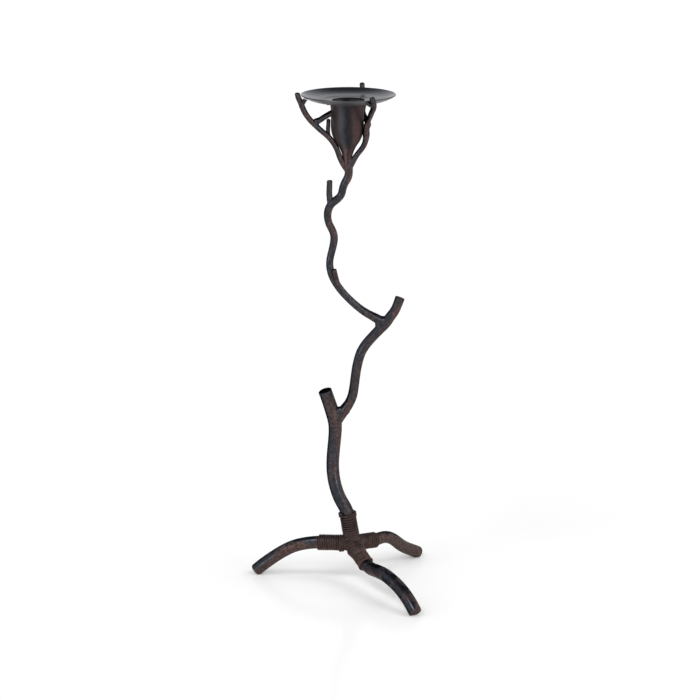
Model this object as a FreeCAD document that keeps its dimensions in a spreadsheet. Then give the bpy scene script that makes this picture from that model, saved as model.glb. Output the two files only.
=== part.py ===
"""Twig candle holder: bent iron rods on three legs, bound with wire, with a cup and a loose drip pan.

Millimetres, +Z up.  The origin lies on the floor below the middle of the footprint, and -Y is the front.
Rods are skins through circles set square to a smooth centre line; a thinner rod is coped to the one that
carries it.  Tables of shares give the bends: sideways and in depth as shares of the stem's sway and lean,
upwards as shares of each rod's rise, and round the cup as shares of the way from the cup to the tips.
"""
import FreeCAD, Part
import math
import os
import Sketcher

Vector = FreeCAD.Vector

# Driving dimensions
SIZES = {
    # stem: three rods, each welded to the side of the one below
    "hub_height": 36.0,
    "lower_rise": 112.0,
    "middle_rise": 89.0,
    "upper_rise": 140.0,
    "stem_sway": 25.0,
    "stem_lean": 8.0,
    "lower_diameter": 11.5,
    "middle_diameter": 8.5,
    "upper_diameter": 6.6,
    "spur_diameter": 5.1,
    "knot_diameter": 4.4,
    # legs: reach from the hub in plan, and the depth of the flat ground on each foot
    "left_reach": 89.5,
    "right_reach": 92.0,
    "front_reach": 107.5,
    "leg_diameter": 11.5,
    "foot_flat": 1.2,
    # candle cup, measured up from the end of the stem; it stands a little left of the crown's middle,
    # and its socket ends below the belly's top
    "cup_height": 54.8,
    "cup_foot_diameter": 7.2,
    "cup_foot_land": 1.0,
    "cup_set": 0.8,
    "cup_belly_diameter": 28.4,
    "cup_lip_diameter": 30.4,
    "socket_diameter": 23.0,
    "socket_drop": 3.1,
    "socket_chamfer": 1.0,
    # drip pan
    "pan_diameter": 82.0,
    "pan_sheet": 1.1,
    "pan_hole_diameter": 28.0,
    "pan_rim_radius": 0.45,
    "pan_clearance": 0.35,
    # crown twigs
    "arm_diameter": 4.8,
    "arm_cup_gap": 0.5,
    "prop_diameter": 4.9,
    "rest_diameter": 3.8,
    "twig_diameter": 3.6,
    # wire bindings
    "wire_diameter": 1.3,
    "wire_gap": 0.5,
    "wire_seat_gap": 0.3,
    # how far from the hub each binding starts
    "stem_binding_root": 8.0,
    "left_binding_root": 9.0,
    "right_binding_root": 9.0,
    "front_binding_root": 11.5,
    # seam between the legs and the foot of the stem
    "weld_gap": 0.15,
    # eased edge of a pruned rod and of a pruned twig, and how far a cutter stands proud of what it cuts
    "end_easing": 0.7,
    "tip_easing": 1.4,
    "cut_overrun": 2.0,
}

# Rod tables: sideways share of stem_sway, depth share of stem_lean, rise share, girth share
LOWER_SHARES = [
    (0.069, 0.0, -0.09, 1.02), (0.0, 0.0, 0.0, 1.02), (-0.069, 0.0, 0.09, 1.02),
    (-0.138, 0.0, 0.18, 1.02), (-0.192, 0.0, 0.25, 1.02), (-0.415, 0.12, 0.35, 1.01),
    (-0.62, 0.38, 0.475, 0.98), (-0.70, 0.62, 0.60, 0.98), (-0.68, 0.75, 0.73, 0.99),
    (-0.625, 0.75, 0.865, 1.0), (-0.62, 0.62, 0.97, 1.05), (-0.74, 0.44, 1.085, 1.06),
    (-0.885, 0.19, 1.19, 1.03), (-0.974, 0.06, 1.249, 1.05),
]
MIDDLE_SHARES = [
    (-0.62, 0.62, -0.03, 1.32), (-0.41, 0.5, 0.062, 1.22), (-0.14, 0.31, 0.169, 1.04),
    (-0.012, 0.12, 0.255, 1.0), (0.046, -0.06, 0.342, 0.98), (0.144, -0.44, 0.554, 0.99),
    (0.205, -0.56, 0.637, 1.0), (0.304, -0.62, 0.721, 1.01), (0.476, -0.66, 0.802, 1.02),
    (0.72, -0.66, 0.883, 1.02), (0.99, -0.62, 0.963, 1.06), (1.184, -0.56, 1.022, 1.08),
    (1.32, -0.5, 1.076, 1.03), (1.436, -0.44, 1.119, 1.0), (1.572, -0.31, 1.198, 0.98),
    (1.655, -0.22, 1.262, 1.0),
]
UPPER_SHARES = [
    (1.12, -0.60, 0.0, 1.30), (0.87, -0.44, 0.031, 1.24), (0.64, -0.31, 0.052, 1.12),
    (0.42, -0.15, 0.073, 1.05), (0.23, 0.0, 0.096, 1.0), (-0.085, 0.25, 0.143, 0.98),
    (-0.355, 0.46, 0.192, 0.98), (-0.562, 0.62, 0.241, 1.0), (-0.708, 0.75, 0.29, 1.0),
    (-0.785, 0.88, 0.339, 0.98), (-0.79, 0.94, 0.389, 0.96), (-0.73, 1.0, 0.439, 0.97),
    (-0.665, 1.0, 0.49, 0.99), (-0.64, 0.94, 0.529, 1.0), (-0.68, 0.88, 0.568, 0.99),
    (-0.81, 0.75, 0.62, 0.98), (-0.865, 0.62, 0.671, 1.0), (-0.815, 0.48, 0.724, 1.03),
    (-0.70, 0.38, 0.756, 1.06), (-0.52, 0.30, 0.782, 1.03), (-0.40, 0.24, 0.808, 1.0),
    (-0.335, 0.18, 0.851, 1.02), (-0.25, 0.11, 0.89, 1.06), (-0.16, 0.06, 0.922, 1.08),
    (-0.13, 0.02, 0.956, 1.06), (-0.148, 0.0, 1.0, 1.08),
]
UPPER_SPUR_SHARES = [
    (-0.74, 0.41, 0.735, 1.1), (-0.795, 0.46, 0.79, 1.04), (-0.805, 0.50, 0.83, 1.0),
    (-0.795, 0.54, 0.878, 0.98), (-0.80, 0.56, 0.897, 1.0),
]
KNOT_SPUR_SHARES = [(-0.50, 0.58, 0.222, 1.2), (-0.576, 0.33, 0.282, 1.02), (-0.644, 0.17, 0.339, 0.96)]

# Leg tables: share of the reach, share of the height from the foot's end to the hub, girth share
LEFT_LEG_SHARES = [
    (0.0, 0.994, 0.68), (0.045, 0.986, 0.81), (0.10, 0.976, 0.93), (0.16, 0.965, 0.98),
    (0.23, 0.953, 0.98), (0.36, 0.93, 0.98), (0.488, 0.869, 0.97), (0.592, 0.781, 0.97),
    (0.696, 0.635, 0.98), (0.80, 0.444, 0.98), (0.905, 0.223, 0.99), (1.0, 0.0, 0.97),
]
RIGHT_LEG_SHARES = [
    (0.0, 0.982, 0.66), (0.045, 0.9625, 0.80), (0.09, 0.943, 0.92), (0.15, 0.917, 0.97),
    (0.24, 0.879, 0.97), (0.345, 0.834, 0.97), (0.42, 0.831, 0.96), (0.49, 0.808, 0.95),
    (0.565, 0.734, 0.95), (0.645, 0.594, 0.96), (0.72, 0.43, 0.97), (0.80, 0.285, 0.97),
    (0.88, 0.167, 0.97), (0.957, 0.06, 0.97), (1.0, 0.0, 0.96),
]
FRONT_LEG_SHARES = [
    (0.0, 0.94, 0.66), (0.04, 0.876, 0.81), (0.08, 0.812, 0.93), (0.15, 0.70, 0.98), (0.225, 0.58, 0.98),
    (0.29, 0.54, 1.0), (0.365, 0.553, 1.01), (0.445, 0.573, 1.02), (0.525, 0.575, 1.02),
    (0.605, 0.549, 1.02), (0.685, 0.50, 1.02), (0.76, 0.435, 1.02), (0.84, 0.335, 1.02),
    (0.917, 0.198, 1.02), (1.0, 0.0, 1.0),
]
LEFT_BEARING = 166.5
RIGHT_BEARING = 49.3
FRONT_BEARING = -59.9

# Crown tables: bearing round the cup in degrees, share outwards (-1 on the cup's axis, 0 beside its
# belly, 1 at the tips), share of the height from the stem's end to the pan's rim, girth share
LEFT_ARM_SHARES = [
    (193, -1.0, -0.09, 1.2), (193, -0.80, -0.018, 1.12), (193, -0.62, 0.063, 1.05),
    (193, -0.51, 0.129, 1.0), (193, -0.39, 0.216, 0.97), (193, -0.16, 0.327, 0.98),
    (193, 0.085, 0.422, 1.0), (193, 0.253, 0.487, 0.98), (193, 0.425, 0.559, 1.0),
    (193, 0.59, 0.634, 1.02), (193, 0.75, 0.728, 1.02), (193, 0.85, 0.815, 1.03),
    (193, 0.94, 0.917, 1.02), (193, 1.01, 0.992, 0.97), (193, 1.025, 1.04, 0.94),
]
RIGHT_ARM_SHARES = [
    (-10, -1.0, -0.07, 1.2), (-10, -0.72, 0.066, 1.08), (-10, -0.56, 0.134, 1.0),
    (-11, -0.35, 0.206, 0.98), (-13, -0.16, 0.282, 1.0), (-14, -0.06, 0.361, 1.08),
    (-16, -0.02, 0.449, 1.28), (-18, 0.0, 0.536, 1.12), (-23, 0.07, 0.627, 1.0), (-41, 0.30, 0.721, 1.0),
    (-53, 0.634, 0.822, 1.02), (-58, 0.885, 0.911, 1.02), (-62, 1.015, 0.992, 0.98),
    (-64, 1.03, 1.045, 0.92),
]
REAR_ARM_SHARES = [
    (-20, 0.03, 0.545, 1.0), (0, 0.03, 0.578, 1.0), (22, 0.03, 0.60, 0.96), (36, 0.04, 0.65, 0.95),
    (46, 0.07, 0.705, 0.95), (55, 0.22, 0.755, 0.95), (63, 0.48, 0.812, 0.95), (69, 0.72, 0.872, 0.96),
    (72.8, 0.91, 0.925, 0.96), (74.2, 1.022, 0.99, 0.94), (74.5, 1.035, 1.052, 0.92),
]
LEFT_PROP_SHARES = [
    (191, 0.487, 0.592, 1.1), (192, 0.282, 0.652, 1.0), (192.5, 0.092, 0.703, 1.0),
    (193, -0.26, 0.757, 1.02),
]
LEFT_REST_SHARES = [(193, 0.90, 0.83, 1.05), (196, 0.865, 0.90, 1.0), (200, 0.785, 0.965, 0.95)]
RIGHT_REST_SHARES = [(-58.5, 0.93, 0.90, 1.1), (-62.5, 0.885, 0.93, 1.0), (-67, 0.83, 0.957, 0.95)]
REAR_REST_SHARES = [
    (63, 0.48, 0.812, 1.05), (80, 0.33, 0.826, 1.0), (112, 0.22, 0.83, 1.0), (142, 0.28, 0.83, 1.02),
]
LEFT_SPUR_SHARES = [
    (193, -0.036, 0.375, 0.95), (183.4, 0.037, 0.446, 1.0), (177, 0.035, 0.545, 1.0),
    (174, 0.035, 0.642, 1.0),
]

# Where the crown's middle stands, as a share of stem_sway from the hub
CROWN_AXIS_SHARE = UPPER_SHARES[-1][0]
# Where the cup's belly ends and its flare starts, as shares of its height, and the neck's share of the curve
BELLY_SHARE = 0.6095
FLARE_SHARE = 0.813
NECK_SHARE = 0.53
# The pan's flat floor as a share of its diameter, and how steep its flank is at the rim, in degrees
PAN_FLOOR_SHARE = 0.561
PAN_RIM_SLOPE = 34.3
# Turns of each binding
STEM_TURNS = 11
LEFT_TURNS = 13
RIGHT_TURNS = 12
FRONT_TURNS = 8
# First points of a rod that lie on a straight line, which a binding is wound round
STRAIGHT_POINTS = 4
# Points looked at on an edge, and how evenly far from the centre they lie on a rod's round end
END_POINTS = 5
END_ROUNDNESS = 0.1
# Points round a rod that its skin is drawn through
SKIN_POINTS = 16

doc = FreeCAD.newDocument("candle_holder")
sheet = doc.addObject("Spreadsheet::Sheet", "Sizes")
for row, (alias, value) in enumerate(SIZES.items(), start=1):
    sheet.set(f"A{row}", alias)
    sheet.set(f"B{row}", str(value))
    sheet.setAlias(f"B{row}", alias)
doc.recompute()


def size(alias):
    """A driving dimension, read from the sheet."""
    return float(sheet.get(alias))


# Places that follow from the driving dimensions
pan_half = size("pan_diameter") / 2
pan_floor_half = pan_half * PAN_FLOOR_SHARE
pan_rim_angle = math.radians(PAN_RIM_SLOPE)
pan_curve = (pan_half - pan_floor_half) / math.sin(pan_rim_angle) - size("pan_sheet")
pan_depth = pan_curve * (1 - math.cos(pan_rim_angle))
lower_fork_height = size("hub_height") + size("lower_rise")
right_fork_height = lower_fork_height + size("middle_rise")
seat_height = right_fork_height + size("upper_rise")
lip_height = seat_height + size("cup_height")
belly_height = size("cup_height") * BELLY_SHARE
flare_height = size("cup_height") * FLARE_SHARE
socket_depth = size("cup_height") - belly_height + size("socket_drop")
crown_rise = size("cup_height") + size("pan_sheet") + pan_depth
cup_right = size("cup_belly_diameter") / 2 - size("cup_set")
belly_reach = cup_right + size("arm_cup_gap") + size("arm_diameter") / 2
tip_reach = pan_half + size("pan_clearance") + size("arm_diameter") / 2


def polar(radius, bearing):
    """A plan offset at a bearing in degrees, counted from +X towards the back."""
    turn = math.radians(bearing)
    return Vector(radius * math.cos(turn), radius * math.sin(turn), 0)


# The footprint's middle is the origin, so the hub stands off it by the uneven reach of the legs
left_foot = polar(size("left_reach"), LEFT_BEARING)
right_foot = polar(size("right_reach"), RIGHT_BEARING)
front_foot = polar(size("front_reach"), FRONT_BEARING)
far_right = max(right_foot.x, front_foot.x)
hub = Vector(-(left_foot.x + far_right) / 2, -(right_foot.y + front_foot.y) / 2, 0)
crown_axis = hub + Vector(CROWN_AXIS_SHARE * size("stem_sway"), 0, 0)
cup_axis = crown_axis - Vector(size("cup_set"), 0, 0)


def stem_points(table, base, rise):
    """Centre-line points of a stem rod that starts its rise at a given height."""
    return [
        hub + Vector(side * size("stem_sway"), depth * size("stem_lean"), base + up * rise)
        for side, depth, up, girth in table
    ]


def leg_points(table, reach, bearing):
    """Centre-line points of a leg; its end dips into the floor by the depth of the ground flat."""
    radius = size("leg_diameter") / 2 * table[-1][-1]
    (along, up, girth), (last, low, tip) = table[-2], table[-1]
    slope = math.atan2((up - low) * size("hub_height"), (last - along) * reach)
    foot = radius * math.cos(slope) - size("foot_flat")
    return [
        hub + polar(share * reach, bearing) + Vector(0, 0, foot + up * (size("hub_height") - foot))
        for share, up, girth in table
    ]


def crown_points(table):
    """Centre-line points of a crown twig."""
    points = []
    for bearing, out, up, girth in table:
        span = tip_reach - belly_reach if out > 0 else belly_reach
        height = Vector(0, 0, seat_height + up * crown_rise)
        points.append(crown_axis + polar(belly_reach + out * span, bearing) + height)
    return points


def skin(circles):
    """A solid whose side passes smoothly through a row of circles, from the first to the last."""
    steps = [2 * math.pi * step / SKIN_POINTS for step in range(SKIN_POINTS + 1)]
    centres = [circle.Placement.Base for circle in circles]
    lengths = [0.0]
    for first, second in zip(centres, centres[1:]):
        lengths.append(lengths[-1] + first.distanceToPoint(second))
    ring_poles = []
    for circle in circles:
        radius = circle.Radius.Value
        ring = Part.BSplineCurve()
        ring.interpolate(
            Points=[circle.Placement.multVec(polar(radius, math.degrees(step))) for step in steps[:-1]],
            PeriodicFlag=True,
            Parameters=steps,
        )
        ring_poles.append(ring.getPoles())
    rib_poles = []
    for track in zip(*ring_poles):
        rib = Part.BSplineCurve()
        rib.interpolate(Points=list(track), Parameters=lengths)
        rib_poles.append(rib.getPoles())
    side = Part.BSplineSurface()
    side.buildFromPolesMultsKnots(
        rib_poles, ring.getMultiplicities(), rib.getMultiplicities(), ring.getKnots(), rib.getKnots(),
        True, False, ring.Degree, rib.Degree,
    )
    wall = side.toShape()
    rims = [edge for edge in wall.Edges if edge.isClosed()]
    caps = [Part.Face(Part.Wire(rim)) for rim in rims]
    shell = Part.Shell([wall] + caps)
    shell.sewShape()
    return Part.Solid(shell)


def bar(name, points, table, diameter, level_end=False):
    """A rod: a skin through circles square to the smooth line through its points."""
    line = Part.BSplineCurve()
    line.interpolate(points)
    across = Vector(0, 1, 0)
    circles = []
    for index, (point, row) in enumerate(zip(points, table)):
        ahead = line.tangent(line.parameter(point))[0]
        if level_end and index == len(points) - 1:
            ahead = Vector(0, 0, 1)
        across = (across - ahead * across.dot(ahead)).normalize()
        circle = doc.addObject("Part::Circle", f"{name}_ring_{index}")
        circle.setExpression("Radius", f"Sizes.{diameter} / 2 * {row[-1]}")
        turn = FreeCAD.Rotation(across, ahead.cross(across), ahead, "ZXY")
        circle.Placement = FreeCAD.Placement(point, turn)
        circles.append(circle)
    doc.recompute()
    rod = doc.addObject("Part::Feature", f"{name}_bar")
    rod.Shape = skin(circles)
    return rod


def on_end(edge, end):
    """Whether an edge is the round outline of the rod's end at a point."""
    reaches = [point.distanceToPoint(end) for point in edge.discretize(Number=END_POINTS)]
    return max(reaches) - min(reaches) < END_ROUNDNESS and max(reaches) < size("lower_diameter")


def eased(rod, *ends, easing="end_easing"):
    """The rod with the edge of its pruned ends rounded off."""
    edges = []
    for number, edge in enumerate(rod.Shape.Edges, start=1):
        if any(on_end(edge, end) for end in ends):
            edges.append((number, size(easing), size(easing)))
    fillet = doc.addObject("Part::Fillet", rod.Name + "_eased")
    fillet.Base = rod
    fillet.Edges = edges
    doc.recompute()
    return fillet


def coped(rod, *carriers):
    """The rod with the room of its carriers cut out of it."""
    for carrier in carriers:
        cut = doc.addObject("Part::Cut", f"{rod.Name}_less_{carrier.Name}")
        cut.Base = rod
        cut.Tool = carrier
        doc.recompute()
        rod = cut
    return rod


finished = []


def finish(label, piece):
    """Give a finished sub-part its label and keep it for the files."""
    piece.Label = label
    finished.append(piece)
    return piece


# Stem rods
lower_points = stem_points(LOWER_SHARES, size("hub_height"), size("lower_rise"))
lower_bar = bar("lower", lower_points, LOWER_SHARES, "lower_diameter")
lower_branch = finish("lower_branch", eased(lower_bar, lower_points[0], lower_points[-1]))
middle_points = stem_points(MIDDLE_SHARES, lower_fork_height, size("middle_rise"))
middle_bar = eased(bar("middle", middle_points, MIDDLE_SHARES, "middle_diameter"), middle_points[-1])
middle_branch = finish("middle_branch", coped(middle_bar, lower_branch))
upper_points = stem_points(UPPER_SHARES, right_fork_height, size("upper_rise"))
upper_bar = bar("upper", upper_points, UPPER_SHARES, "upper_diameter", level_end=True)
upper_branch = finish("upper_branch", coped(upper_bar, middle_branch))
spur_points = stem_points(UPPER_SPUR_SHARES, right_fork_height, size("upper_rise"))
spur_bar = bar("upper_spur", spur_points, UPPER_SPUR_SHARES, "spur_diameter")
spur_bar = eased(spur_bar, spur_points[-1], easing="tip_easing")
finish("upper_spur", coped(spur_bar, upper_branch))
knot_points = stem_points(KNOT_SPUR_SHARES, right_fork_height, size("upper_rise"))
knot_bar = eased(bar("knot_spur", knot_points, KNOT_SPUR_SHARES, "knot_diameter"), knot_points[-1])
finish("knot_spur", coped(knot_bar, upper_branch))


def bind(sketch, constraint, expression):
    """Add a constraint whose value follows the sheet."""
    number = sketch.addConstraint(constraint)
    sketch.setExpression(f"Constraints[{number}]", expression)


def arc(centre, radius, start, end):
    """A sketch arc, anticlockwise between two angles in radians."""
    return Part.ArcOfCircle(Part.Circle(centre, Vector(0, 0, 1), radius), start, end)


def cup_sketch():
    """Half section of the cup without its socket: foot, neck, belly, straight wall and flared lip."""
    foot = size("cup_foot_diameter") / 2
    land = size("cup_foot_land")
    belly = size("cup_belly_diameter") / 2
    lip = size("cup_lip_diameter") / 2
    height = size("cup_height")
    turn = 2 * math.atan((belly - foot) / (belly_height - land))
    curve = (belly_height - land) / math.sin(turn)
    neck = curve * NECK_SHARE
    swell = curve - neck
    flare = ((lip - belly) ** 2 + (height - flare_height) ** 2) / (2 * (lip - belly))
    flare_turn = math.asin((height - flare_height) / flare)
    sketch = doc.addObject("Sketcher::SketchObject", "cup_section")
    sketch.addGeometry([
        Part.LineSegment(Vector(0, 0), Vector(foot, 0)),
        Part.LineSegment(Vector(foot, 0), Vector(foot, land)),
        arc(Vector(foot + neck, land), neck, math.pi - turn, math.pi),
        arc(Vector(belly - swell, belly_height), swell, -turn, 0),
        Part.LineSegment(Vector(belly, belly_height), Vector(belly, flare_height)),
        arc(Vector(belly + flare, flare_height), flare, math.pi - flare_turn, math.pi),
        Part.LineSegment(Vector(lip, height), Vector(0, height)),
        Part.LineSegment(Vector(0, height), Vector(0, 0)),
    ])
    sketch.addConstraint([
        Sketcher.Constraint("Coincident", 0, 1, -1, 1),
        Sketcher.Constraint("Coincident", 0, 2, 1, 1),
        Sketcher.Constraint("Tangent", 1, 2, 2, 2),
        Sketcher.Constraint("Tangent", 2, 1, 3, 1),
        Sketcher.Constraint("Tangent", 3, 2, 4, 1),
        Sketcher.Constraint("Tangent", 4, 2, 5, 2),
        Sketcher.Constraint("Coincident", 5, 1, 6, 1),
        Sketcher.Constraint("Coincident", 6, 2, 7, 1),
        Sketcher.Constraint("Coincident", 7, 2, 0, 1),
        Sketcher.Constraint("Horizontal", 0),
        Sketcher.Constraint("Vertical", 1),
        Sketcher.Constraint("Vertical", 4),
        Sketcher.Constraint("Horizontal", 6),
        Sketcher.Constraint("Vertical", 7),
    ])
    bind(sketch, Sketcher.Constraint("DistanceX", -1, 1, 0, 2, foot), "Sizes.cup_foot_diameter / 2")
    bind(sketch, Sketcher.Constraint("DistanceY", 1, 1, 1, 2, land), "Sizes.cup_foot_land")
    sketch.addConstraint(Sketcher.Constraint("Radius", 2, neck))
    bind(sketch, Sketcher.Constraint("DistanceX", -1, 1, 4, 1, belly), "Sizes.cup_belly_diameter / 2")
    belly_top = Sketcher.Constraint("DistanceY", -1, 1, 4, 1, belly_height)
    bind(sketch, belly_top, f"Sizes.cup_height * {BELLY_SHARE}")
    flare_start = Sketcher.Constraint("DistanceY", -1, 1, 4, 2, flare_height)
    bind(sketch, flare_start, f"Sizes.cup_height * {FLARE_SHARE}")
    bind(sketch, Sketcher.Constraint("DistanceX", -1, 1, 5, 1, lip), "Sizes.cup_lip_diameter / 2")
    bind(sketch, Sketcher.Constraint("DistanceY", -1, 1, 5, 1, height), "Sizes.cup_height")
    upright = FreeCAD.Rotation(Vector(1, 0, 0), 90)
    sketch.Placement = FreeCAD.Placement(cup_axis + Vector(0, 0, seat_height), upright)
    return sketch


def candle_cup():
    """The turned cup on the end of the stem, and its blank, which the twigs are coped to."""
    blank = doc.addObject("Part::Revolution", "cup_blank")
    blank.Source = cup_sketch()
    blank.Axis = Vector(0, 0, 1)
    blank.Base = cup_axis
    blank.Angle = 360
    blank.Solid = True
    bore = doc.addObject("Part::Cylinder", "socket_bore")
    bore.setExpression("Radius", "Sizes.socket_diameter / 2")
    depth = f"Sizes.cup_height * (1 - {BELLY_SHARE}) + Sizes.socket_drop"
    bore.setExpression("Height", f"{depth} + Sizes.cut_overrun")
    bore.Placement.Base = cup_axis + Vector(0, 0, lip_height - socket_depth)
    mouth = doc.addObject("Part::Cone", "socket_mouth")
    mouth.setExpression("Radius1", "Sizes.socket_diameter / 2")
    mouth.setExpression("Radius2", "Sizes.socket_diameter / 2 + Sizes.socket_chamfer + Sizes.cut_overrun")
    mouth.setExpression("Height", "Sizes.socket_chamfer + Sizes.cut_overrun")
    mouth.Placement.Base = cup_axis + Vector(0, 0, lip_height - size("socket_chamfer"))
    doc.recompute()
    return coped(blank, bore, mouth), blank


def pan_sketch(body):
    """Half section of the pan: a flat floor with a hole, and a flank that curves up to the rim."""
    hole = size("pan_hole_diameter") / 2
    sheet_metal = size("pan_sheet")
    centre = Vector(pan_floor_half, sheet_metal + pan_curve)
    start = -math.pi / 2
    end = start + pan_rim_angle
    spoke = Vector(math.cos(end), math.sin(end))
    sketch = body.newObject("Sketcher::SketchObject", "pan_section")
    plane = next(item for item in body.Origin.OriginFeatures if item.Role == "XZ_Plane")
    sketch.AttachmentSupport = [(plane, "")]
    sketch.MapMode = "FlatFace"
    sketch.addGeometry([
        Part.LineSegment(Vector(hole, 0), Vector(pan_floor_half, 0)),
        arc(centre, pan_curve + sheet_metal, start, end),
        Part.LineSegment(centre + spoke * (pan_curve + sheet_metal), centre + spoke * pan_curve),
        arc(centre, pan_curve, start, end),
        Part.LineSegment(Vector(pan_floor_half, sheet_metal), Vector(hole, sheet_metal)),
        Part.LineSegment(Vector(hole, sheet_metal), Vector(hole, 0)),
    ])
    sketch.addConstraint([
        Sketcher.Constraint("Tangent", 0, 2, 1, 1),
        Sketcher.Constraint("Coincident", 1, 2, 2, 1),
        Sketcher.Constraint("Coincident", 2, 2, 3, 2),
        Sketcher.Constraint("Tangent", 3, 1, 4, 1),
        Sketcher.Constraint("Coincident", 4, 2, 5, 1),
        Sketcher.Constraint("Coincident", 5, 2, 0, 1),
        Sketcher.Constraint("Coincident", 1, 3, 3, 3),
        Sketcher.Constraint("PointOnObject", 1, 3, 2),
        Sketcher.Constraint("PointOnObject", 0, 1, -1),
        Sketcher.Constraint("Horizontal", 0),
        Sketcher.Constraint("Vertical", 5),
    ])
    bind(sketch, Sketcher.Constraint("DistanceX", -1, 1, 0, 1, hole), "Sizes.pan_hole_diameter / 2")
    floor_edge = Sketcher.Constraint("DistanceX", -1, 1, 0, 2, pan_floor_half)
    bind(sketch, floor_edge, f"Sizes.pan_diameter / 2 * {PAN_FLOOR_SHARE}")
    bind(sketch, Sketcher.Constraint("DistanceY", 0, 1, 4, 2, sheet_metal), "Sizes.pan_sheet")
    flank = f"Sizes.pan_diameter / 2 * (1 - {PAN_FLOOR_SHARE}) / sin({PAN_RIM_SLOPE} deg) - Sizes.pan_sheet"
    bind(sketch, Sketcher.Constraint("Radius", 3, pan_curve), flank)
    bind(sketch, Sketcher.Constraint("DistanceX", -1, 1, 1, 2, pan_half), "Sizes.pan_diameter / 2")
    return sketch


def drip_pan():
    """The loose pan on the cup's lip, its rim rounded over."""
    body = doc.addObject("PartDesign::Body", "pan_body")
    sketch = pan_sketch(body)
    spun = body.newObject("PartDesign::Revolution", "pan_spun")
    spun.Profile = sketch
    spun.ReferenceAxis = (sketch, ["V_Axis"])
    spun.Angle = 360
    doc.recompute()
    rim = [
        f"Edge{number}" for number, edge in enumerate(spun.Shape.Edges, start=1)
        if edge.isClosed() and edge.BoundBox.XMax > pan_half - size("pan_sheet")
    ]
    rounded = body.newObject("PartDesign::Fillet", "pan_rim")
    rounded.Base = (spun, rim)
    rounded.setExpression("Radius", "Sizes.pan_rim_radius")
    body.Tip = rounded
    body.Placement.Base = crown_axis + Vector(0, 0, lip_height)
    doc.recompute()
    return body


def pan_room():
    """The room that the pan needs to lift off: its underside grown by the clearance, and all above it."""
    gap = size("pan_clearance")
    radius = pan_curve + size("pan_sheet") + gap
    edge = pan_half + gap
    turn = math.asin((edge - pan_floor_half) / radius)
    centre = Vector(pan_floor_half, 0, size("pan_sheet") + pan_curve)
    floor, halfway, rim = [
        centre + Vector(radius * math.sin(share * turn), 0, -radius * math.cos(share * turn))
        for share in (0, 0.5, 1)
    ]
    corners = [rim, Vector(edge, 0, crown_rise), Vector(0, 0, crown_rise), Vector(0, 0, -gap), floor]
    sides = [Part.makeLine(first, second) for first, second in zip(corners, corners[1:])]
    section = Part.Wire(sides + [Part.Arc(floor, halfway, rim).toShape()])
    room = doc.addObject("Part::Feature", "pan_room")
    room.Shape = Part.Face(section).revolve(Vector(), Vector(0, 0, 1), 360)
    room.Placement.Base = crown_axis + Vector(0, 0, lip_height)
    return room


# Cup, pan and the twigs of the crown
cup, cup_blank = candle_cup()
finish("candle_cup", cup)
finish("drip_pan", drip_pan())
room = pan_room()


def twig(name, table, diameter, *carriers, pruned=True):
    """A crown twig, coped to what carries it."""
    points = crown_points(table)
    rod = bar(name, points, table, diameter)
    if pruned:
        rod = eased(rod, points[-1], easing="tip_easing")
    return finish(name, coped(rod, *carriers))


left_arm = twig("left_arm", LEFT_ARM_SHARES, "arm_diameter", upper_branch, cup_blank)
right_arm = twig("right_arm", RIGHT_ARM_SHARES, "arm_diameter", upper_branch, cup_blank)
rear_arm = twig("rear_arm", REAR_ARM_SHARES, "arm_diameter", right_arm)
twig("left_prop", LEFT_PROP_SHARES, "prop_diameter", left_arm, cup_blank, pruned=False)
twig("left_spur", LEFT_SPUR_SHARES, "twig_diameter", left_arm)
twig("left_rest", LEFT_REST_SHARES, "rest_diameter", left_arm, room, pruned=False)
twig("right_rest", RIGHT_REST_SHARES, "rest_diameter", right_arm, room, pruned=False)
twig("rear_rest", REAR_REST_SHARES, "rest_diameter", rear_arm)


def floor_block():
    """All that lies below the floor under the legs."""
    block = doc.addObject("Part::Box", "floor_block")
    block.setExpression("Length", "2 * (Sizes.left_reach + Sizes.front_reach)")
    block.setExpression("Width", "2 * (Sizes.right_reach + Sizes.front_reach)")
    block.setExpression("Height", "Sizes.leg_diameter")
    doc.recompute()
    block.Placement.Base = Vector(-block.Length.Value / 2, -block.Width.Value / 2, -block.Height.Value)
    return block


def stem_core():
    """The straight foot of the stem, grown by the gap that the weld fills."""
    core = doc.addObject("Part::Cylinder", "stem_core")
    core.setExpression("Radius", f"Sizes.lower_diameter / 2 * {LOWER_SHARES[0][-1]} + Sizes.weld_gap")
    core.setExpression("Height", "2 * Sizes.hub_height")
    doc.recompute()
    rise = (lower_points[1] - lower_points[0]).normalize()
    turn = FreeCAD.Rotation(Vector(0, 0, 1), rise)
    core.Placement = FreeCAD.Placement(lower_points[1] - rise * size("hub_height"), turn)
    return core


# Legs, coped to the foot of the stem and ground flat on the floor
ground = floor_block()
core = stem_core()


def leg(name, table, reach, bearing):
    """One leg, and the points of its centre line."""
    points = leg_points(table, size(reach), bearing)
    rod = coped(bar(name, points, table, "leg_diameter"), core, ground)
    finish(name, eased(rod, points[-1]))
    return points


left_points = leg("left_leg", LEFT_LEG_SHARES, "left_reach", LEFT_BEARING)
right_points = leg("right_leg", RIGHT_LEG_SHARES, "right_reach", RIGHT_BEARING)
front_points = leg("front_leg", FRONT_LEG_SHARES, "front_reach", FRONT_BEARING)


def arc_from(start, ahead, end):
    """The arc that leaves a point along a direction and passes through another point."""
    chord = end - start
    along = Vector(chord).normalize()
    bulge = ahead - along * ahead.dot(along)
    half_turn = ahead.getAngle(along) / 2
    middle = start + chord / 2 + bulge.normalize() * (chord.Length / 2 * math.tan(half_turn))
    return Part.Arc(start, middle, end).toShape()


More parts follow.
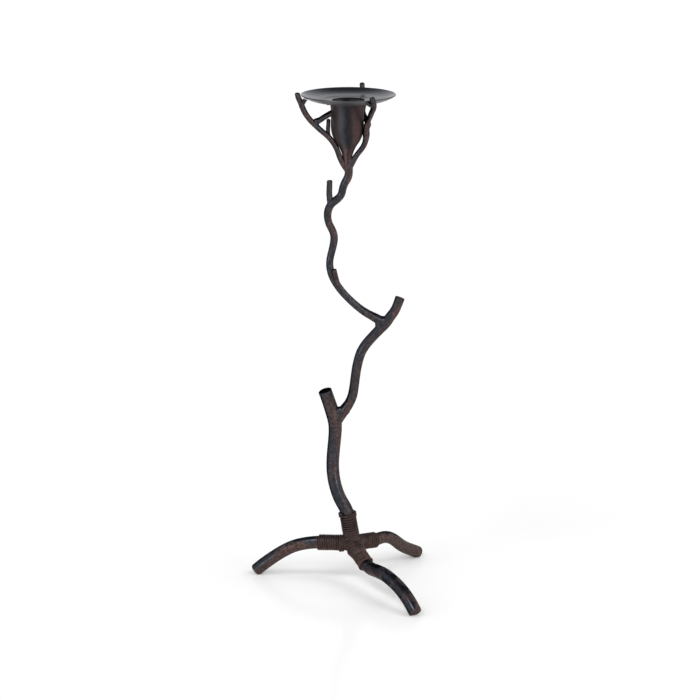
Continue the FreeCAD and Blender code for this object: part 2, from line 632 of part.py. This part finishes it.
def biarc(start, ahead, end, leaving):
    """Two tangent arcs between two points with given directions."""
    chord = end - start
    both = ahead + leaving
    spread = 2 * (1 - ahead.dot(leaving))
    reach = (math.sqrt(chord.dot(both) ** 2 + spread * chord.dot(chord)) - chord.dot(both)) / spread
    joint = (start + ahead * reach + end - leaving * reach) / 2
    return [arc_from(start, ahead, joint), arc_from(end, leaving * -1, joint)]


def winding_path(radius, pitch, turns, tail):
    """A helix round Z as biarcs of half a turn, with a straight tail at each end."""
    points = []
    ways = []
    for step in range(2 * turns + 1):
        angle = math.pi * step
        points.append(Vector(radius * math.cos(angle), radius * math.sin(angle), pitch * step / 2))
        way = Vector(-radius * math.sin(angle), radius * math.cos(angle), pitch / (2 * math.pi))
        ways.append(way.normalize())
    edges = [Part.makeLine(points[0] - ways[0] * tail, points[0])]
    for step in range(2 * turns):
        edges += biarc(points[step], ways[step], points[step + 1], ways[step + 1])
    edges.append(Part.makeLine(points[-1], points[-1] + ways[-1] * tail))
    return Part.Wire(Part.__sortEdges__(edges))


def least_gap(path, radius, thickness):
    """The least gap of a winding to itself, measured on points of its centre line."""
    steps_per_turn = 24
    count = int(path.Length / (2 * math.pi * radius) * steps_per_turn)
    points = path.discretize(Number=count)
    apart = steps_per_turn // 2
    return min(
        points[one].distanceToPoint(points[two])
        for one in range(count) for two in range(one + apart, count)
    ) - thickness


def binding(name, points, table, diameter, turns, toward):
    """Wire wound round the straight root of a rod; its two ends lie on the side given by a direction."""
    thickness = size("wire_diameter")
    pitch = thickness + size("wire_gap")
    girth = table[:STRAIGHT_POINTS][-1][-1]
    radius = size(diameter) / 2 * girth + size("wire_seat_gap") + thickness / 2
    path = winding_path(radius, pitch, turns, thickness)
    start = path.OrderedVertexes[0].Point
    ahead = path.OrderedVertexes[1].Point - start
    profile = Part.Wire(Part.makeCircle(thickness / 2, start, ahead))
    wire = doc.addObject("Part::Feature", name)
    wire.Shape = path.makePipeShell([profile], True, False)
    along = (points[:STRAIGHT_POINTS][-1] - points[0]).normalize()
    across = (toward - along * toward.dot(along)).normalize()
    turn = FreeCAD.Rotation(across, along.cross(across), along, "ZXY")
    wire.Placement = FreeCAD.Placement(points[0] + along * size(name + "_root"), turn)
    filled = wire.Shape.Volume / (path.Length * math.pi * thickness ** 2 / 4)
    gap = least_gap(path, radius, thickness)
    print(f"{name}: {turns} turns, least gap to itself {gap:.2f} mm, volume {filled:.4f} of ideal")
    finish(name, wire)


# Bindings: the wire's ends lie behind the stem and under the legs
DOWN = Vector(0, 0, -1)
BACK = Vector(0, 1, 0)
binding("stem_binding", lower_points[1:], LOWER_SHARES[1:], "lower_diameter", STEM_TURNS, BACK)
binding("left_binding", left_points, LEFT_LEG_SHARES, "leg_diameter", LEFT_TURNS, DOWN)
binding("right_binding", right_points, RIGHT_LEG_SHARES, "leg_diameter", RIGHT_TURNS, DOWN)
binding("front_binding", front_points, FRONT_LEG_SHARES, "leg_diameter", FRONT_TURNS, DOWN)

# Every object sound, then one file for each sub-part
doc.recompute()
faults = [item.Name for item in doc.Objects if "Invalid" in item.State or "Error" in item.State]
faults += [piece.Label for piece in finished if piece.Shape.isNull() or not piece.Shape.isValid()]
faults += [piece.Label for piece in finished if len(piece.Shape.Solids) != 1]
if faults:
    raise RuntimeError("unsound: " + ", ".join(faults))
os.makedirs("parts", exist_ok=True)
for piece in finished:
    piece.Shape.exportStep(f"parts/{piece.Label}.step")
    print(piece.Label, round(piece.Shape.Volume, 1))
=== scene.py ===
"""Looks of the twig candle holder: blackened iron rods, wire bindings, cup and drip pan on a table.

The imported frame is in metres, with +Z up and -Y to the front.  Lengths are written here in
millimetres, and MM turns them to metres.
"""
import bmesh
import bpy
import math
from functools import partial
from mathutils import Matrix, Vector, noise


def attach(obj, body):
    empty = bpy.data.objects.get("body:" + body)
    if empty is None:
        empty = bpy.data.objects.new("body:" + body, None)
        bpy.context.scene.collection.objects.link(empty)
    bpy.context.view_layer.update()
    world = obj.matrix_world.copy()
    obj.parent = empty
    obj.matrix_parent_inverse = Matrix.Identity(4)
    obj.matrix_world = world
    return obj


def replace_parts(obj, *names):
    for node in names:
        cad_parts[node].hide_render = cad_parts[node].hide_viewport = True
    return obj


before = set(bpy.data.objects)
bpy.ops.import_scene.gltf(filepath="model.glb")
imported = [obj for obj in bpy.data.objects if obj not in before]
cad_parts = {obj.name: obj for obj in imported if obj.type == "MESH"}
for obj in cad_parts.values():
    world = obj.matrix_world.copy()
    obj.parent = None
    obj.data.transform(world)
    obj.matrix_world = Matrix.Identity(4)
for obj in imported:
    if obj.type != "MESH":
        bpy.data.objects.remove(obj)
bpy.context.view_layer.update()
MM = 0.001

# Camera: at the photograph's height, tilt and distance
SENSOR_WIDTH = 36
LENS = 136.43
CAMERA_PLACE = Vector((11.26, -2238.4, 778.3))
CAMERA_DIP = 14.112
camera = bpy.data.objects.new("camera", bpy.data.cameras.new("camera"))
camera.data.sensor_width = SENSOR_WIDTH
camera.data.lens = LENS
camera.location = CAMERA_PLACE * MM
camera.rotation_euler = (math.radians(90 - CAMERA_DIP), 0, 0)
bpy.context.scene.collection.objects.link(camera)
bpy.context.scene.camera = camera


def linear(hex_colour):
    """A colour written as sRGB hex, in the linear values that sockets take."""
    parts = [int(hex_colour[start:start + 2], 16) / 255 for start in (1, 3, 5)]
    return [part / 12.92 if part <= 0.04045 else ((part + 0.055) / 1.055) ** 2.4
            for part in parts] + [1.0]


def per(millimetres):
    """The texture scale at which a pattern repeats about every so many millimetres."""
    return 1000 / millimetres


def add(tree, kind, sockets, **settings):
    """Add a node with its settings, set or link its sockets, and return its outputs."""
    new = tree.nodes.new(kind)
    for name, value in settings.items():
        setattr(new, name, value)
    for key, value in sockets.items():
        named = [item for item in new.inputs if item.enabled and key in (item.identifier, item.name)]
        socket = named[0] if named else new.inputs[key]
        if isinstance(value, bpy.types.NodeSocket):
            tree.links.new(value, socket)
        else:
            socket.default_value = value
    return new.outputs


# The colour among the results of a Mix node
MIXED = 2


def blank(name):
    """A new material with an empty node tree."""
    material = bpy.data.materials.new(name)
    material.use_nodes = True
    material.node_tree.nodes.clear()
    return material, material.node_tree


# Clouds of brown, with brown also painted on the lit side (the right light and the table's bounce):
# that side, by how much, and where brown starts and is full
PAINTED_LIT_SIDE = (0.65, -0.25, -0.8)
PAINTED_LIT_SIDE_LEAN = 0.28
BROWN_START, BROWN_FULL = 0.44, 0.78

# Near the floor the iron is browner, fully below the first height and no more above the second
NEAR_TABLE_FULL, NEAR_TABLE_GONE, NEAR_TABLE_BROWN = 30, 50, 0.2

# Mottle of scale and wax, finer on the real iron and drawn as coarse as it needs to show
MOTTLE = 2.2
MOTTLE_LOW, MOTTLE_HIGH = 0.32, 0.68


def clouded(tree, place, mottle, patch, stretch, contrast):
    """Patina in clouds a patch wide, browner near the floor, with brown painted on sides that face
    right and down, where the right light and the table's bounce light fall.

    Gives how brown it is, from 0 to 1, and how light, with 1 as the written colour.
    """
    drawn = add(tree, "ShaderNodeMapping", {"Vector": place, "Scale": (1, 1, stretch)})["Vector"]
    cloud = add(tree, "ShaderNodeTexNoise", {
        "Vector": drawn, "Scale": per(patch), "Detail": 3.0, "Roughness": 0.55,
        "Distortion": 0.5})["Fac"]
    facing = add(tree, "ShaderNodeTexCoord", {})["Normal"]
    # Painted light: brown leans onto sides that face the right light and the table's bounce light
    facing_lit_side = add(tree, "ShaderNodeVectorMath", {
        0: facing, 1: PAINTED_LIT_SIDE}, operation="DOT_PRODUCT")["Value"]
    clouds_and_lit_side = add(tree, "ShaderNodeMath", {
        0: facing_lit_side, 1: PAINTED_LIT_SIDE_LEAN, 2: cloud}, operation="MULTIPLY_ADD")["Value"]
    height = add(tree, "ShaderNodeSeparateXYZ", {"Vector": place})["Z"]
    near_floor = add(tree, "ShaderNodeMapRange", {
        "Value": height, "From Min": NEAR_TABLE_FULL * MM, "From Max": NEAR_TABLE_GONE * MM,
        "To Min": NEAR_TABLE_BROWN, "To Max": 0.0})["Result"]
    clouds_lit_side_and_low = add(tree, "ShaderNodeMath", {0: clouds_and_lit_side, 1: near_floor}, operation="ADD")["Value"]
    brown = add(tree, "ShaderNodeMapRange", {
        "Value": clouds_lit_side_and_low, "From Min": BROWN_START, "From Max": BROWN_FULL},
        interpolation_type="SMOOTHSTEP")["Result"]
    light = add(tree, "ShaderNodeMapRange", {
        "Value": mottle, "From Min": MOTTLE_LOW, "From Max": MOTTLE_HIGH,
        "To Min": 1 - contrast, "To Max": 1 + contrast})["Result"]
    return brown, light


# Cup: its axis, how far its streaks waver and over what length, and the heights of its brown foot
CUP_X, CUP_Y = 9.017, 11.628
WAVER, WAVER_LENGTH = 6, 9
FOOT_FULL, FOOT_GONE, FOOT_BROWN = 384, 402, 0.9

# Streaks from the cup's left round by the front: the share of the round, how brown and how light; the
# lightness paints a highlight left of the front and another behind, a painted reflection of the dark
# room down the front, and painted shade at the right edge
CUP_STREAKS_AND_PAINTED_LIGHT = (
    (0.03, 0.6, 1.2), (0.08, 0.8, 1.0), (0.135, 0.5, 1.0), (0.18, 0.1, 2.1),
    (0.205, 0.1, 1.9), (0.25, 0.1, 0.8), (0.29, 0.3, 0.9), (0.335, 0.9, 1.1),
    (0.39, 1.0, 1.1), (0.435, 0.7, 0.6), (0.50, 0.4, 0.9), (0.60, 0.7, 1.1),
    (0.68, 0.1, 1.7), (0.78, 0.1, 0.9), (0.88, 0.8, 1.0), (0.96, 0.3, 0.8))
# How brown and how light the cup is at its left, where the round starts and ends
CUP_LEFT = (0.45, 1.0)
# A ramp's colours stop at 1, so the lightness goes through it divided by this
RAMP_REACH = 4.0


def streaked(tree, place, _mottle):
    """Patina in upright streaks round the cup, brown at its foot, with a painted highlight and
    painted shade in its lightness, told in the same two values.
    """
    waver = add(tree, "ShaderNodeTexNoise", {
        "Vector": place, "Scale": per(WAVER_LENGTH), "Detail": 2.0})["Color"]
    shaken = add(tree, "ShaderNodeVectorMath", {
        0: waver, 1: (WAVER * MM, WAVER * MM, 0.0), 2: place}, operation="MULTIPLY_ADD")["Vector"]
    centre = (-(CUP_X + WAVER / 2) * MM, -(CUP_Y + WAVER / 2) * MM, 0.0)
    centred = add(tree, "ShaderNodeMapping", {"Vector": shaken, "Location": centre})["Vector"]
    round_cup = add(tree, "ShaderNodeTexGradient", {"Vector": centred}, gradient_type="RADIAL")["Fac"]
    streaks = add(tree, "ShaderNodeValToRGB", {"Fac": round_cup})["Color"]
    stops = streaks.node.color_ramp.elements
    for end in stops:
        end.color = (CUP_LEFT[0], CUP_LEFT[1] / RAMP_REACH, 0, 1)
    for share, brown, light in CUP_STREAKS_AND_PAINTED_LIGHT:
        stops.new(share).color = (brown, light / RAMP_REACH, 0, 1)
    parts = add(tree, "ShaderNodeSeparateColor", {"Color": streaks})
    # The lightness, with its painted highlight and painted shade
    level = add(tree, "ShaderNodeMath", {
        0: parts["Green"], 1: RAMP_REACH}, operation="MULTIPLY")["Value"]
    height = add(tree, "ShaderNodeSeparateXYZ", {"Vector": place})["Z"]
    foot = add(tree, "ShaderNodeMapRange", {
        "Value": height, "From Min": FOOT_FULL * MM, "From Max": FOOT_GONE * MM,
        "To Min": FOOT_BROWN, "To Max": 0.0})["Result"]
    browner = add(tree, "ShaderNodeMath", {0: parts["Red"], 1: foot}, operation="MAXIMUM")["Value"]
    return browner, level


# Rust specks come with the mottle; brown iron is rougher, and keeps a share of the metal's shine
SPECK_START, SPECK_FULL = 0.35, 0.65
BROWN_DULLING, BROWN_METAL = 0.15, 0.45
# Hammer marks, their depth, and the depth of the skin of scale and wax
HAMMER_MARK, HAMMER_DEPTH, SKIN_DEPTH = 5.5, 0.5, 0.15


def blackened_iron(name, black, brown, rust, edge, satin, metal, hammering, patina):
    """Forged iron, blackened in hot oil and waxed.

    The blue-black scale is satin and goes dark towards the outline; where it is thin the iron has
    turned brown, and those patches are dull.  Each patina gives brown and lightness: the clouds also
    paint brown on the lit side, and the cup's streaks paint a highlight and shade into the lightness.
    The hammer and the wax leave a fine uneven skin.
    """
    material, tree = blank(name)
    place = add(tree, "ShaderNodeTexCoord", {})["Object"]
    mottle = add(tree, "ShaderNodeTexNoise", {
        "Vector": place, "Scale": per(MOTTLE), "Detail": 3.0, "Roughness": 0.6})["Fac"]
    # Brown comes from the patina, and the clouds also paint it on the lit side as painted light
    patina_and_lit_side, light = patina(tree, place, mottle)
    speckle = add(tree, "ShaderNodeMapRange", {
        "Value": mottle, "From Min": SPECK_START, "From Max": SPECK_FULL},
        interpolation_type="SMOOTHSTEP")["Result"]
    rusty = add(tree, "ShaderNodeMix", {
        "Factor_Float": speckle, "A_Color": linear(brown), "B_Color": linear(rust)},
        data_type="RGBA")[MIXED]
    plain = add(tree, "ShaderNodeMix", {
        "Factor_Float": patina_and_lit_side, "A_Color": linear(black), "B_Color": rusty}, data_type="RGBA")[MIXED]
    # Lightness: random tone, and on the cup also a painted highlight and painted shade
    colour = add(tree, "ShaderNodeMix", {
        "Factor_Float": 1.0, "A_Color": plain, "B_Color": light},
        data_type="RGBA", blend_type="MULTIPLY")[MIXED]
    dulled = add(tree, "ShaderNodeMapRange", {
        "Value": patina_and_lit_side, "To Min": satin, "To Max": satin + BROWN_DULLING})["Result"]
    bare = add(tree, "ShaderNodeMapRange", {
        "Value": patina_and_lit_side, "To Min": metal, "To Max": metal * BROWN_METAL})["Result"]
    swell = add(tree, "ShaderNodeTexNoise", {
        "Vector": place, "Scale": per(HAMMER_MARK), "Detail": 1.0, "Roughness": 0.5})["Fac"]
    hammered = add(tree, "ShaderNodeBump", {
        "Height": swell, "Strength": hammering, "Distance": HAMMER_DEPTH * MM})["Normal"]
    skin = add(tree, "ShaderNodeBump", {
        "Height": mottle, "Normal": hammered, "Strength": hammering / 2,
        "Distance": SKIN_DEPTH * MM})["Normal"]
    shader = add(tree, "ShaderNodeBsdfPrincipled", {
        "Base Color": colour, "Metallic": bare, "Roughness": dulled, "Specular Tint": linear(edge),
        "Normal": skin})["BSDF"]
    add(tree, "ShaderNodeOutputMaterial", {"Surface": shader})
    return material


# Rods: hammered, black and satin, with brown patches drawn out along them and brown painted on their
# lit side
IRON = blackened_iron(
    "waxed_blackened_iron", black="#36383e", brown="#473a38", rust="#52423e", edge="#38383a",
    satin=0.25, metal=1.0, hammering=0.4,
    patina=partial(clouded, patch=12, stretch=0.25, contrast=0.35))
# Cup: heated all round, so that black and brown run down it in streaks, with a painted highlight and
# painted shade among them
CUP_IRON = blackened_iron(
    "waxed_blackened_cup_iron", black="#282b2f", brown="#403231", rust="#4a3936", edge="#747478",
    satin=0.32, metal=0.9, hammering=0.3, patina=streaked)
# Pan: smooth spun sheet, an even grey-black that shines towards its rim
PAN_IRON = blackened_iron(
    "waxed_blackened_sheet_iron", black="#484b52", brown="#49484d", rust="#4b4848", edge="#ffffff",
    satin=0.22, metal=1.0, hammering=0.03,
    patina=partial(clouded, patch=16, stretch=1, contrast=0.08))
# Wire: annealed, dull and brown all over
WIRE = blackened_iron(
    "annealed_binding_wire", black="#413736", brown="#493b38", rust="#54433d", edge="#4a4444",
    satin=0.45, metal=0.7, hammering=0.2,
    patina=partial(clouded, patch=9, stretch=1, contrast=0.25))

for node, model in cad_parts.items():
    model.data.materials.clear()
    model.data.materials.append({"candle_cup": CUP_IRON, "drip_pan": PAN_IRON}.get(node, IRON))


def fit(name, mesh, material):
    """Make a finished mesh a piece that rides on the stand."""
    data = bpy.data.meshes.new(name)
    mesh.to_mesh(data)
    mesh.free()
    data.materials.append(material)
    for face in data.polygons:
        face.use_smooth = True
    model = bpy.data.objects.new(name, data)
    bpy.context.scene.collection.objects.link(model)
    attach(model, "stand")
    return model


def along(bearing, slope):
    """A direction at a bearing from +X towards the back, sloping down by some degrees."""
    turn, dip = math.radians(bearing), math.radians(slope)
    return Vector((math.cos(turn) * math.cos(dip), math.sin(turn) * math.cos(dip), -math.sin(dip)))


def laid(middle, way):
    """The move that lays a shape made round +Z along a way, with its origin at a place in metres."""
    return Matrix.Translation(middle) @ way.to_track_quat("Z", "Y").to_matrix().to_4x4()


# Wire: sides of its section, steps in a turn, and how uneven the hand leaves it, over what length
WIRE_SIDES = 12
STEPS = 32
UNEVEN, UNEVEN_LENGTH = 0.14, 5


def wind(mesh, root, way, first, last, radius, thick, wide, pitch):
    """Wind a flattened wire round a rod, from one distance along it to another."""
    ring = bmesh.ops.create_circle(mesh, segments=WIRE_SIDES, radius=1.0)["verts"]
    flatten = Matrix.Diagonal((thick / 2 * MM, wide / 2 * MM, 1, 1))
    upright = Matrix.Rotation(math.radians(90), 4, "X")
    seat = Matrix.Translation(((radius + thick / 2) * MM, 0, first * MM))
    bmesh.ops.transform(mesh, matrix=seat @ upright @ flatten, verts=ring)
    edges = list({edge for vert in ring for edge in vert.link_edges})
    count = round((last - first) / pitch * STEPS)
    before = set(mesh.verts) - set(ring)
    bmesh.ops.spin(
        mesh, geom=ring + edges, cent=(0, 0, 0), axis=(0, 0, 1), dvec=(0, 0, pitch / STEPS * MM),
        angle=2 * math.pi * count / STEPS, steps=count, use_merge=False)
    wire = [vert for vert in mesh.verts if vert not in before]
    rims = [edge for vert in wire for edge in vert.link_edges if edge.is_boundary]
    bmesh.ops.holes_fill(mesh, edges=list(set(rims)), sides=0)
    for vert in wire:
        outward = Vector((vert.co.x, vert.co.y, 0)).normalized()
        vert.co += outward * UNEVEN * MM * noise.noise(vert.co / (UNEVEN_LENGTH * MM))
    bmesh.ops.transform(mesh, matrix=laid(root * MM, way), verts=wire)


def wrap(name, node, *windings):
    """A binding of one or more windings, in place of its plain winding."""
    mesh = bmesh.new()
    for winding in windings:
        wind(mesh, *winding)
    bmesh.ops.recalc_face_normals(mesh, faces=mesh.faces)
    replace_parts(fit(name, mesh, WIRE), node)


# Hub: where the stem's and the legs' lines meet, the ways they leave it and the legs' lower roots
HUB = Vector((13.517, 11.628, 36.0))
STEM_WAY = Vector((-1.725, 0, 10.08)).normalized()
LEFT_WAY = along(166.5, 3.84)
RIGHT_WAY = along(49.3, 8.66)
FRONT_WAY = along(-59.9, 25.89)
LEFT_ROOT = HUB + Vector((0, 0, -0.20))
RIGHT_ROOT = HUB + Vector((0, 0, -0.58))
FRONT_ROOT = HUB + Vector((0, 0, -1.96))

# Bindings: raised turns end the stem's and the front leg's, and slanting turns cross over the hub
SLANT_WAY = (STEM_WAY + Vector((-0.45, -0.1, 0))).normalized()
DROOP_WAY = (LEFT_WAY + Vector((0, 0, -0.1))).normalized()
# Each winding: root, way, first and last distance, radius inside, wire's thickness and width, pitch
wrap("stem_wrap", "stem_binding",
     (HUB, STEM_WAY, 3.0, 25.6, 5.8, 1.65, 1.45, 2.1),
     (HUB, STEM_WAY, 24.6, 28.6, 6.3, 1.8, 1.7, 2.1),
     (HUB, SLANT_WAY, 1.5, 7.8, 6.6, 1.5, 1.6, 2.1))
wrap("left_wrap", "left_binding",
     (LEFT_ROOT, LEFT_WAY, 4.0, 31.6, 5.6, 1.65, 1.4, 2.1),
     (LEFT_ROOT, DROOP_WAY, 8.0, 12.2, 5.8, 1.6, 1.6, 2.1))
wrap("right_wrap", "right_binding",
     (RIGHT_ROOT, RIGHT_WAY, 4.0, 31.5, 5.55, 1.65, 1.8, 2.7))
wrap("front_wrap", "front_binding",
     (FRONT_ROOT, FRONT_WAY, 2.0, 26.6, 5.64, 1.4, 1.3, 1.4),
     (FRONT_ROOT, FRONT_WAY, 5.0, 7.1, 6.9, 1.5, 1.6, 2.1),
     (FRONT_ROOT, FRONT_WAY, 7.4, 9.5, 6.5, 1.4, 1.6, 2.1),
     (FRONT_ROOT, FRONT_WAY, 9.8, 11.9, 6.1, 1.3, 1.6, 2.1),
     (FRONT_ROOT, FRONT_WAY, 25.0, 27.1, 5.9, 1.6, 1.5, 2.1))

# Melted rods: their sides, how finely their round ends are divided, and how freely the metal flows
ROD_SIDES, END_DIVISIONS, FLOW = 40, 3, 0.5


def melt(name, material, slot, *rods, grain, rounds):
    """Short lengths of rods melted together, so that the crotch between them fills with a web.

    A rod is a list of places, each with the rod's radius there.
    """
    mesh = bmesh.new()
    for places in rods:
        for (start, first), (end, last) in zip(places, places[1:]):
            start, end = Vector(start) * MM, Vector(end) * MM
            way = end - start
            bmesh.ops.create_cone(
                mesh, cap_ends=True, segments=ROD_SIDES, radius1=first * MM, radius2=last * MM,
                depth=way.length, matrix=laid((start + end) / 2, way))
            bmesh.ops.create_icosphere(
                mesh, subdivisions=END_DIVISIONS, radius=last * MM, matrix=Matrix.Translation(end))
    model = fit(name, mesh, material)
    fuse = model.modifiers.new("fuse", "REMESH")
    fuse.mode = "VOXEL"
    fuse.voxel_size = grain * MM
    fuse.use_smooth_shade = True
    flow = model.modifiers.new("flow", "SMOOTH")
    flow.factor = FLOW
    flow.iterations = rounds


# Core of the hub: wire hammered smooth, which the windings meet over
melt("hub_core", WIRE, "binding_wire",
     [(HUB - STEM_WAY * 8, 6.4), (HUB + STEM_WAY * 9, 6.7)],
     [(HUB, 6.4), (HUB + LEFT_WAY * 9, 6.5)],
     [(HUB, 6.4), (HUB + RIGHT_WAY * 10, 6.5)],
     [(HUB, 6.6), (HUB + FRONT_WAY * 13, 6.7)],
     grain=0.5, rounds=24)

# Weld webs at the two forks, the upper spur, the knot, the crown and the left prop
melt("lower_fork_web", IRON, "iron_rod",
     [((-2.1, 17.5, 134.0), 5.3), ((-2.0, 16.6, 145.0), 5.6), ((-5.0, 15.1, 157.5), 5.7),
      ((-7.0, 14.1, 163.5), 5.4)],
     [((-2.0, 16.6, 145.3), 5.2), ((3.3, 15.6, 153.5), 4.9), ((7.0, 14.8, 158.8), 4.3)],
     [((-3.5, 15.4, 154.8), 5.0), ((2.6, 15.5, 155.4), 4.9), ((6.8, 15.0, 157.2), 4.7)],
     grain=0.5, rounds=14)
melt("right_fork_web", IRON, "iron_rod",
     [((33.0, 6.4, 228.2), 3.9), ((38.3, 6.7, 233.7), 4.1), ((43.1, 7.1, 239.0), 4.2),
      ((46.5, 7.6, 243.8), 4.0)],
     [((41.5, 6.8, 237.0), 4.0), ((35.3, 8.1, 241.3), 3.8), ((29.5, 9.1, 244.3), 3.3)],
     [((37.2, 6.8, 232.8), 4.0), ((36.8, 7.6, 240.2), 3.9)],
     [((37.5, 7.6, 240.2), 4.0), ((42.5, 7.3, 240.2), 4.0)],
     grain=0.4, rounds=18)
melt("upper_spur_web", IRON, "iron_rod",
     [((-7.6, 16.0, 335.0), 3.1), ((-6.9, 15.5, 338.4), 3.2), ((-4.0, 14.7, 342.8), 3.3),
      ((0.5, 14.0, 346.5), 3.1)],
     [((-5.0, 14.9, 339.9), 2.6), ((-6.4, 15.3, 347.6), 2.4), ((-6.6, 15.6, 351.5), 2.2)],
     grain=0.35, rounds=30)
melt("knot_web", IRON, "iron_rod",
     [((4.6, 15.3, 263.9), 3.0), ((-0.5, 16.6, 270.7), 3.1), ((-4.2, 17.6, 277.6), 3.0)],
     [((1.0, 16.3, 268.1), 2.4), ((-0.9, 14.3, 276.5), 2.0)],
     grain=0.35, rounds=20)
melt("crown_web", IRON, "iron_rod",
     [((9.5, 12.1, 366.1), 3.3), ((10.3, 11.8, 370.8), 3.3), ((9.8, 11.6, 377.0), 3.5),
      ((9.4, 11.6, 383.0), 3.8)],
     [((9.8, 11.6, 371.5), 2.7), ((6.6, 10.9, 375.9), 2.5), ((3.8, 10.2, 380.9), 2.3)],
     [((9.8, 11.6, 372.7), 2.7), ((14.3, 10.8, 381.0), 2.4), ((16.9, 10.4, 385.2), 2.2)],
     grain=0.35, rounds=30)
melt("prop_web", IRON, "iron_rod",
     [((-14.5, 6.0, 408.4), 2.2), ((-17.4, 5.3, 411.2), 2.3), ((-21.8, 4.3, 415.8), 2.3),
      ((-24.0, 3.8, 418.6), 2.2)],
     [((-19.3, 6.0, 413.3), 2.6), ((-17.6, 5.9, 415.2), 2.9), ((-13.7, 6.6, 416.9), 2.3)],
     grain=0.35, rounds=12)

bpy.context.scene.view_settings.view_transform = "Standard"

# Table: white acrylic, faintly glossy; where it is seen, a small glow tops its white up
TABLE_TOP_UP = 0.05
TABLE_GLOSS, TABLE_ROUGHNESS = 0.05, 0.12
TABLE_REACH_METRES = 12
table, tree = blank("white_acrylic_table")
lit = add(tree, "ShaderNodeBsdfDiffuse", {"Color": linear("#f8f8f8")})["BSDF"]
path = add(tree, "ShaderNodeLightPath", {})
clear_sight = add(tree, "ShaderNodeMath", {
    0: path["Is Camera Ray"], 1: path["Is Transmission Ray"]}, operation="MAXIMUM")["Value"]
sight = add(tree, "ShaderNodeMath", {
    0: clear_sight, 1: path["Is Glossy Ray"]}, operation="MAXIMUM")["Value"]
top_up = add(tree, "ShaderNodeMath", {0: sight, 1: TABLE_TOP_UP}, operation="MULTIPLY")["Value"]
glow = add(tree, "ShaderNodeEmission", {"Color": linear("#ffffff"), "Strength": top_up})["Emission"]
gloss = add(tree, "ShaderNodeBsdfGlossy", {
    "Color": linear("#ffffff"), "Roughness": TABLE_ROUGHNESS})["BSDF"]
both = add(tree, "ShaderNodeAddShader", {0: lit, 1: glow})["Shader"]
sheen = add(tree, "ShaderNodeMixShader", {"Fac": TABLE_GLOSS, 1: both, 2: gloss})["Shader"]
add(tree, "ShaderNodeOutputMaterial", {"Surface": sheen})
ground = bmesh.new()
bmesh.ops.create_grid(ground, x_segments=1, y_segments=1, size=TABLE_REACH_METRES)
floor_mesh = bpy.data.meshes.new("table")
ground.to_mesh(floor_mesh)
ground.free()
floor_mesh.materials.append(table)
floor = bpy.data.objects.new("table", floor_mesh)
bpy.context.scene.collection.objects.link(floor)

# Room: white walls under a grey ceiling, by how steeply one looks up, from 0 to 1
WALL_TOP, CEILING_START, CEILING_GREY = 0.5, 0.9, 0.2
world = bpy.data.worlds.new("studio")
world.use_nodes = True
world.node_tree.nodes.clear()
look = add(world.node_tree, "ShaderNodeTexCoord", {})["Generated"]
height = add(world.node_tree, "ShaderNodeSeparateXYZ", {"Vector": look})["Z"]
level = add(world.node_tree, "ShaderNodeMapRange", {
    "Value": height, "From Min": WALL_TOP, "From Max": CEILING_START, "To Min": 1.0,
    "To Max": CEILING_GREY}, interpolation_type="SMOOTHSTEP")["Result"]
sky = add(world.node_tree, "ShaderNodeBackground", {
    "Color": linear("#ffffff"), "Strength": level})["Background"]
add(world.node_tree, "ShaderNodeOutputWorld", {"Surface": sky})
bpy.context.scene.world = world

# Large soft lights: the direction each comes from, its strength and its spread in degrees
LIGHTS = (
    ("right_light", (31.7, -9.8, 36), 0.7, 32),
    ("front_light", (2, -48, 36), 0.45, 20),
    ("left_light", (-20, -19, 39), 0.7, 20),
    ("left_light_foot", (-35, -35, 3), 0.3, 16),
    ("right_light_foot", (32, -38, 3), 0.4, 16))
for name, source, strength, spread in LIGHTS:
    light = bpy.data.objects.new(name, bpy.data.lights.new(name, "SUN"))
    light.data.energy = strength
    light.data.angle = math.radians(spread)
    light.rotation_euler = Vector(source).to_track_quat("Z", "Y").to_euler()
    bpy.context.scene.collection.objects.link(light)
